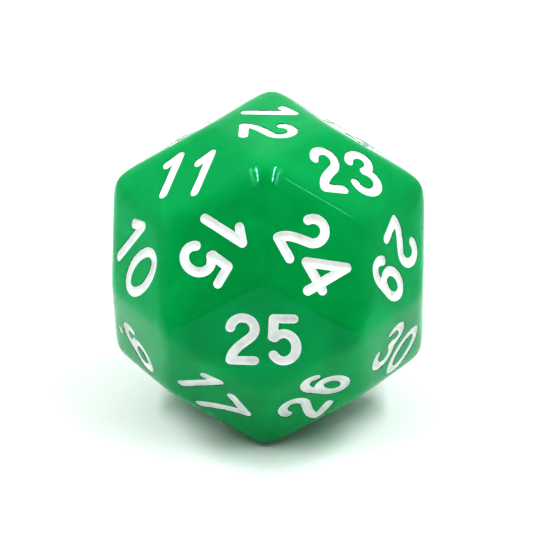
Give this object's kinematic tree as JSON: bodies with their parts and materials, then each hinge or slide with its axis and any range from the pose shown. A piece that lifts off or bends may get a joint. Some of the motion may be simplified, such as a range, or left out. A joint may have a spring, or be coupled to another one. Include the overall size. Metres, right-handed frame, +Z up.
{
  "type": "polyhedral die",
  "caption": "Numbered polyhedral die with rhombic faces, rounded edges and corners, and white-painted engraved numbers.",
  "frame": {"origin": "centre of the face that the die rests on (the face numbered 19), which is the bottom centre of the bounding box", "axes": "+Z up through the top face (numbered 12); the long diagonal of the top and bottom faces lies along Y; the face numbered 25 looks along -Y, and the face numbered 28 along +X"},
  "size_m": [0.033, 0.033, 0.033],
  "materials": {
    "plastic": "polished, slightly translucent cast resin",
    "paint": "satin white paint"
  },
  "bodies": {
    "root": {"die_body": "plastic", "number_01_units": "paint", "number_02_units": "paint", "number_03_units": "paint", "number_04_units": "paint", "number_05_units": "paint", "number_06_dot": "paint", "number_06_units": "paint", "number_07_units": "paint", "number_08_units": "paint", "number_09_dot": "paint", "number_09_units": "paint", "number_10_tens": "paint", "number_10_units": "paint", "number_11_tens": "paint", "number_11_units": "paint", "number_12_tens": "paint", "number_12_units": "paint", "number_13_tens": "paint", "number_13_units": "paint", "number_14_tens": "paint", "number_14_units": "paint", "number_15_tens": "paint", "number_15_units": "paint", "number_16_tens": "paint", "number_16_units": "paint", "number_17_tens": "paint", "number_17_units": "paint", "number_18_tens": "paint", "number_18_units": "paint", "number_19_tens": "paint", "number_19_units": "paint", "number_20_tens": "paint", "number_20_units": "paint", "number_21_tens": "paint", "number_21_units": "paint", "number_22_tens": "paint", "number_22_units": "paint", "number_23_tens": "paint", "number_23_units": "paint", "number_24_tens": "paint", "number_24_units": "paint", "number_25_tens": "paint", "number_25_units": "paint", "number_26_tens": "paint", "number_26_units": "paint", "number_27_tens": "paint", "number_27_units": "paint", "number_28_tens": "paint", "number_28_units": "paint", "number_29_tens": "paint", "number_29_units": "paint", "number_30_tens": "paint", "number_30_units": "paint"}
  },
  "joints": []
}
